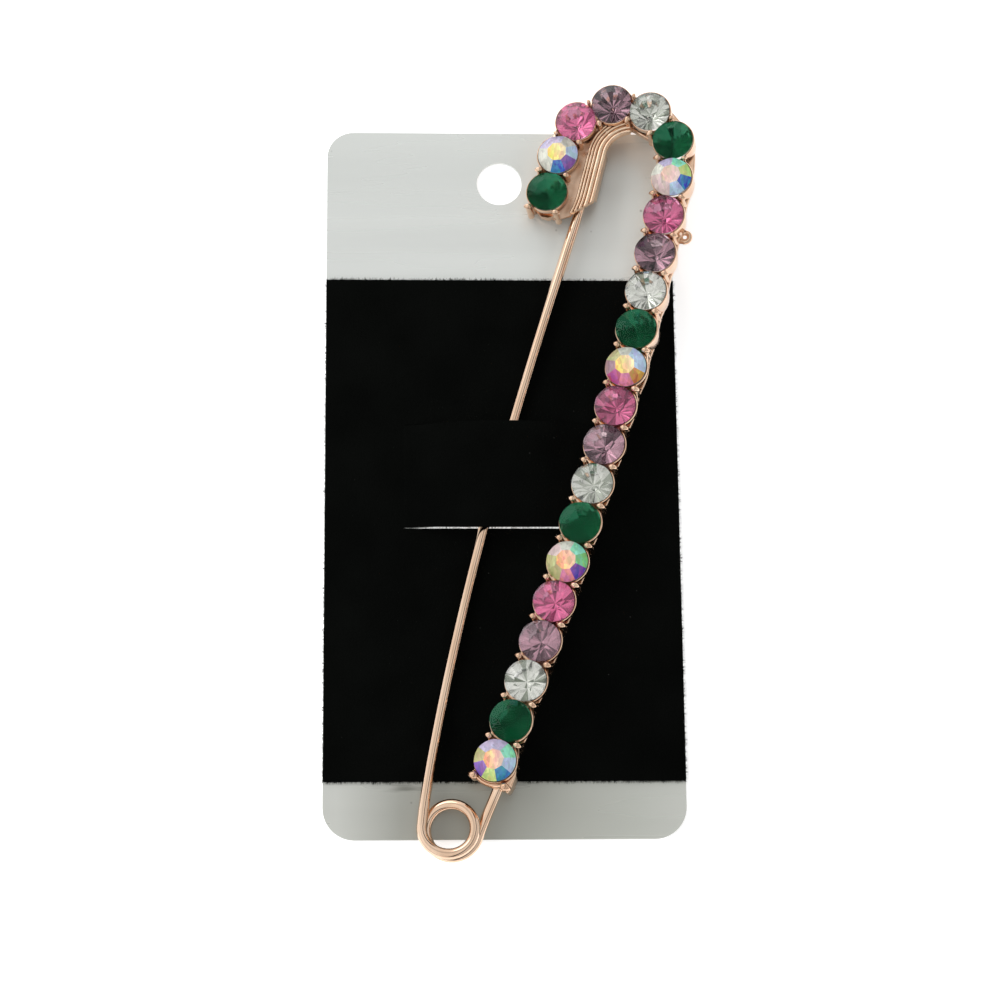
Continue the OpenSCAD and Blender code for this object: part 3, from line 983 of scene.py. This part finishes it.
card = {
    "at": (-1.2, -0.85), "width": 35.3, "velvetTop": 20.3, "velvetLow": 30.7,
    "slitHalf": 9.7, "slitTop": 5.0, "slitLow": 5.6, "arch": 2.12, "endR": 5.0, "plate": 0.4, "gap": 0.02, "pile": 0.28,
}
satinLook = {
    "length": (-0.039, 0.036), "breadth": (-0.019, 0.019),
    # the colour grows darker towards the bottom: painted reflection
    "toneAndReflection": [(0.0, (0.63, 0.64, 0.595)), (0.7, (0.75, 0.77, 0.745)), (0.9, (0.75, 0.775, 0.745))],
    # painted reflection and shade across the lower band, darkest a little left of the middle
    "lowReflection": [(0.04, 0.98), (0.2, (0.62, 0.62, 0.60)), (0.36, (0.52, 0.52, 0.49)), (0.62, (0.72, 0.725, 0.70)),
             (0.8, (0.84, 0.85, 0.83)), (0.97, 1)],
    "lowReflectionBand": [(0.12, 1), (0.3, 0)],  # where the painted reflection and shade of the lower band lie
    "streaks": [(0.3, 0.93), (0.7, 1)], "streakScale": 60, "streakStretch": (0.25, 3.0, 1),
    "specks": [(0.035, (0.25, 0.25, 0.24)), (0.06, 1)], "speckScale": 330, "speckShare": 0.5,
    "smears": [(0.60, 1), (0.70, (0.45, 0.45, 0.43))], "smearScale": 420, "smearStretch": (0.3, 1.7, 1),
    "smearBand": [(0.055, 0), (0.098, 1), (0.12, 1), (0.135, 0)],  # lint rubbed along the card below the velvet
    "hairScale": 420, "hairStretch": (0.08, 1, 1), "hairTurn": 8, "smoothest": 0.24, "roughest": 0.36,
    "bumps": 240, "bumpStrength": 0.1, "bumpDepth": 0.00002,
}


def cardMaterial():
    look = satinLook
    material, tree, shader = newMaterial("satinPlastic", 0.3, metal=0.25)
    coords = tree.nodes.new("ShaderNodeTexCoord")
    axes = tree.nodes.new("ShaderNodeSeparateXYZ")
    tree.links.new(coords.outputs["Object"], axes.inputs["Vector"])
    lengthwise = spread(tree, axes.outputs["Y"], 0.0, 1.0, *look["length"])
    crosswise = spread(tree, axes.outputs["X"], 0.0, 1.0, *look["breadth"])
    streaks = noise(tree, look["streakScale"], 4, look["streakStretch"])
    specks = cells(tree, look["speckScale"], "Distance")
    smears = noise(tree, look["smearScale"], stretch=look["smearStretch"])
    # darker towards the bottom, and darker still across the lower band: painted reflection and shade
    colour = ramp(tree, lengthwise, look["toneAndReflection"])
    for share, layer in (
        (ramp(tree, lengthwise, look["lowReflectionBand"]), ramp(tree, crosswise, look["lowReflection"])),
        (1.0, ramp(tree, streaks, look["streaks"])),
        (look["speckShare"], ramp(tree, specks, look["specks"])),
        (ramp(tree, lengthwise, look["smearBand"]), ramp(tree, smears, look["smears"])),
    ):
        colour = mixColour(tree, "MULTIPLY", share, colour, layer)
    tree.links.new(colour, shader.inputs["Base Color"])
    hair = noise(tree, look["hairScale"], 2, look["hairStretch"], look["hairTurn"])
    tree.links.new(spread(tree, hair, look["smoothest"], look["roughest"]), shader.inputs["Roughness"])
    addBump(tree, shader, noise(tree, look["bumps"]), look["bumpStrength"], look["bumpDepth"])
    return material


satin = cardMaterial()
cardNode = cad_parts["card"]
cardNode.data.materials.clear()
cardNode.data.materials.append(satin)
print("card:", cardNode.name)


# Velvet: a flocked pad with its strip over the pin, and loose fibres along every edge

velvet = {
    "stripIn": 0.12, "farEdge": 0.1, "tuck": 0.15, "slide": 0.236, "slitShows": 0.10, "archSteps": 40,
    "padSoft": 0.07, "stripSoft": 0.05,
    "fibresPerMm": 13, "fibreLen": (0.16, 0.40), "onStrip": 0.6, "fibreR": 0.026, "fibreTip": 0.004,
    "rootIn": 0.05, "rootClear": 0.03, "astray": 0.8, "droop": -0.15, "stand": 0.7, "seed": 11,
}
velvetLook = {
    "nap": [(0.35, (0.0021, 0.0024, 0.0021)), (0.7, (0.0031, 0.0035, 0.0031))], "napScale": 160,
    "lint": [(0.015, (0.03, 0.03, 0.028)), (0.028, 0)], "lintScale": 420,
    "sheen": 0.004, "sheenRough": 0.4, "pile": 5000, "pileStrength": 0.8, "pileDepth": 0.00008,
}


def archZ(x):  # how high the strip stands: a long middle arc with a smaller one at each end
    half, h, endR = card["slitHalf"], card["arch"], card["endR"]
    x = min(half, abs(x))
    angle = 2 * math.atan(h / half)
    midR = half / math.sin(angle) - endR
    if x < midR * math.sin(angle):
        return h - midR + math.sqrt(midR ** 2 - x * x)
    return endR - math.sqrt(max(0, endR ** 2 - (half - x) ** 2))


def overhang(x):  # how far the strip's near edge has slid over its slit where it bows up
    return max(0, velvet["slide"] * archZ(x) - velvet["slitShows"])


def velvetMaterial():
    look = velvetLook
    material, tree, shader = newMaterial("velvetPile", 0.95, level=0.015, colour=(0.004, 0.004, 0.004))
    nap = ramp(tree, noise(tree, look["napScale"], 4), look["nap"])
    lint = ramp(tree, cells(tree, look["lintScale"], "Distance"), look["lint"])
    tree.links.new(mixColour(tree, "ADD", 1.0, nap, lint), shader.inputs["Base Color"])
    fill(shader, {"Sheen Weight": look["sheen"], "Sheen Roughness": look["sheenRough"]})
    addBump(tree, shader, noise(tree, look["pile"], 2), look["pileStrength"], look["pileDepth"])
    return material


def makePad():
    low, pile = card["plate"] + card["gap"], card["pile"]
    top, bottom, far, near = card["velvetTop"], card["velvetLow"], card["slitTop"], card["slitLow"]
    pad = box("velvetPad", (0, (top - bottom) / 2, low + pile / 2), (card["width"], top + bottom, pile))
    cutWith(pad, box("slits", (0, (far - near) / 2, 0.5), (2 * card["slitHalf"], far + near, 3)))
    softEdges(pad, velvet["padSoft"])
    steps = velvet["archSteps"]
    reach = card["slitHalf"] + velvet["tuck"]
    xs = [reach * (2 * k / steps - 1) for k in range(steps + 1)]
    outline = [(x, 0, low + archZ(x)) for x in xs] + [(x, 0, low + pile + archZ(x)) for x in reversed(xs)]
    strip = outlineFace("strip", outline)
    strip.data.transform(Matrix.Translation((0, -near + velvet["stripIn"], 0)))
    editAll(strip)
    extrude(0, far + near - 2 * velvet["stripIn"], 0)
    leaveEdit()
    outward(strip)
    for vertex in strip.data.vertices:
        vertex.co.y += velvet["farEdge"] if vertex.co.y > 0 else -overhang(vertex.co.x)
    softEdges(strip, velvet["stripSoft"], 2, 60)
    return smooth(joinAs("velvetPad", [pad, strip]), 50)


def makeFibres():
    deselectAll()
    bpy.ops.mesh.primitive_cone_add(
        vertices=3, radius1=velvet["fibreR"], radius2=velvet["fibreTip"], depth=1, location=(0, 0, 0.5))
    source = bakePlace(newest("fibre"))
    shape = [v.co.copy() for v in source.data.vertices]
    faces = [list(f.vertices) for f in source.data.polygons]
    draw = random.Random(velvet["seed"])
    top = card["plate"] + card["gap"]
    left, right, low, high = -card["width"] / 2, card["width"] / 2, -card["velvetLow"], card["velvetTop"]
    slit, near, far, into = card["slitHalf"], -card["slitLow"], card["slitTop"], velvet["stripIn"]
    clear, astray = velvet["rootClear"], velvet["astray"]
    edges = [  # from, to, the way out, share of the usual density, and whether it lies on the bowed strip
        ((left, low), (left, high), (-1, 0), 1.0, False),
        ((right, low), (right, high), (1, 0), 1.0, False),
        ((left, low), (right, low), (0, -1), 1.6, False),
        ((left, high), (right, high), (0, 1), 1.0, False),
        ((-slit, near), (slit, near), (0, 1), 0.8, False),
        ((-slit, far), (slit, far), (0, -1), 0.8, False),
        ((-slit, near + into), (slit, near + into), (0, -1), 1.6, True),
        ((-slit, far - into), (slit, far - into), (0, 1), 0.6, True),
    ]
    points, polygons = [], []
    for start, end, out, share, bowed in edges:
        start, end, out = Vector(start), Vector(end), Vector((*out, 0))
        for _ in range(int((end - start).length * velvet["fibresPerMm"] * share)):
            p = start.lerp(end, draw.random())
            z = top + (archZ(p.x) if bowed else 0) + draw.uniform(clear, card["pile"] - clear)
            if bowed and out.y < 0:
                p.y -= overhang(p.x)
            root = Vector((p.x, p.y, z)) - out * velvet["rootIn"]
            stray = (draw.uniform(-astray, astray), draw.uniform(-astray, astray))
            way = out + Vector((*stray, draw.uniform(velvet["droop"], velvet["stand"])))
            length = draw.uniform(*velvet["fibreLen"]) * (velvet["onStrip"] if bowed else 1)
            turn = way.to_track_quat("Z", "Y").to_matrix().to_4x4()
            place = Matrix.Translation(root) @ turn @ Matrix.Diagonal((1, 1, length, 1))
            first = len(points)
            points.extend(place @ v for v in shape)
            polygons.extend([first + k for k in f] for f in faces)
    discard(source)
    mesh = bpy.data.meshes.new("velvetFibres")
    mesh.from_pydata(points, [], polygons)
    fibres = bpy.data.objects.new("velvetFibres", mesh)
    return addToScene(fibres)


pile = velvetMaterial()
onCard = scaleToMetres @ Matrix.Translation((*card["at"], 0))
pad = finishPiece(makePad(), "velvet", ["velvet_pad"], onCard, pile)
fibres = finishPiece(makeFibres(), "velvet", ["velvet_pad"], onCard, pile)
print("velvet:", len(pad.data.polygons), "fibre faces:", len(fibres.data.polygons))


# Floor, light and camera

studio = {
    "floorSize": 6.0, "floorLow": -0.00005, "floorGlow": 0.45, "floorTone": (0.95, 0.95, 0.95),
    # each glow: its direction, its strength away from it and near it, and the cosines where it starts and ends
    "tent": ((-0.75, 0.35, 0.55), 0.52, 0.90, -0.7, 0.9),
    "quiet": ((-0.34, 0.33, 0.88), 1.0, 0.68, 0.93, 0.975),  # mirrored by the stones' tables
    "lamp": ((-0.50, 0.65, 0.57), 1.0, 2.6, 0.962, 0.982),  # mirrored by the beads and the hook's bend
    # each band runs round the tent, square to its direction, and is listed from its middle outwards
    "strip": ((-0.784, 0.202, -0.587), 1.12, 1.0, 0.06, 0.15),  # a long lamp behind the tent
    "seam": ((-0.897, 0.232, 0.3755), 0.0, 1.0, 0.09, 0.12),  # between two sheets of the tent
    "seamEnds": ((0, 0, 1), 1.0, 0.0, 0.2, 0.4),  # the seam fades out towards the horizon
    "keyAt": (-0.50, 0.05, 0.35), "keySize": (0.6, 0.6), "keyWatts": 1.3, "exposure": 0.10,
}
view = {  # fitted to the card's four corners, in millimetres
    "target": (-1.398, -3.390, 0.0), "eye": (-11.155, -58.602, 233.362), "roll": -0.54, "lens": 86.5, "sensor": 36,
}


def makeFloor():
    deselectAll()
    bpy.ops.mesh.primitive_plane_add(size=studio["floorSize"], location=(0, 0, studio["floorLow"]))
    floor = newest("floor")
    material, tree, shader = newMaterial("whiteFloor", 0.9, level=0.1, colour=studio["floorTone"])
    fill(shader, {"Emission Color": (1, 1, 1, 1), "Emission Strength": studio["floorGlow"]})
    floor.data.materials.append(material)


def makeWorld():
    world = scene.world or bpy.data.worlds.new("lightTent")
    scene.world = world
    world.use_nodes = True
    tree = world.node_tree
    coords = tree.nodes.new("ShaderNodeTexCoord")
    def combine(operation, *values):
        node = tree.nodes.new("ShaderNodeMath")
        node.operation = operation
        for socket, value in zip(node.inputs, values):
            tree.links.new(value, socket)
        return node.outputs["Value"]
    def glow(name, band=False):
        direction, low, high, start, end = studio[name]
        along = tree.nodes.new("ShaderNodeVectorMath")
        along.operation = "DOT_PRODUCT"
        along.inputs[1].default_value = Vector(direction).normalized()
        tree.links.new(coords.outputs["Generated"], along.inputs[0])
        at = along.outputs["Value"]
        return spread(tree, combine("ABSOLUTE", at) if band else at, low, high, start, end)
    strength = glow("tent")
    seam = combine("MAXIMUM", glow("seam", True), glow("seamEnds"))
    for part in (glow("strip", True), glow("lamp"), glow("quiet"), seam):
        strength = combine("MULTIPLY", strength, part)
    background = tree.nodes["Background"]
    tree.links.new(strength, background.inputs["Strength"])
    fill(background, {"Color": (1, 1, 1, 1)})


def softbox(name, place, size, watts):
    light = bpy.data.lights.new(name, "AREA")
    light.shape = "RECTANGLE"
    light.size, light.size_y = size
    light.energy = watts
    lamp = bpy.data.objects.new(name, light)
    lamp.location = place
    lamp.visible_glossy = False  # the metal mirrors the tent alone
    lamp.rotation_euler = Vector(place).to_track_quat("Z", "Y").to_euler()
    addToScene(lamp)


def makeCamera():
    eye, target = Vector(view["eye"]) * mm, Vector(view["target"]) * mm
    ahead = (target - eye).normalized()
    side = ahead.cross(Vector((0, 1, 0))).normalized()
    up = side.cross(ahead)
    roll = math.radians(view["roll"])
    sideRolled = math.cos(roll) * side + math.sin(roll) * up
    upRolled = -math.sin(roll) * side + math.cos(roll) * up
    data = bpy.data.cameras.new("camera")
    data.lens = view["lens"]
    data.sensor_width = view["sensor"]
    data.clip_start = 0.01
    data.clip_end = 20
    camera = bpy.data.objects.new("camera", data)
    addToScene(camera)
    turn = Matrix((sideRolled, upRolled, -ahead)).transposed().to_4x4()
    camera.matrix_world = Matrix.Translation(eye) @ turn
    bpy.context.scene.camera = camera


makeFloor()
makeWorld()
softbox("keyLight", studio["keyAt"], studio["keySize"], studio["keyWatts"])
makeCamera()
scene.view_settings.view_transform = "Standard"
scene.view_settings.look = "None"
scene.view_settings.exposure = studio["exposure"]
print("studio ready")
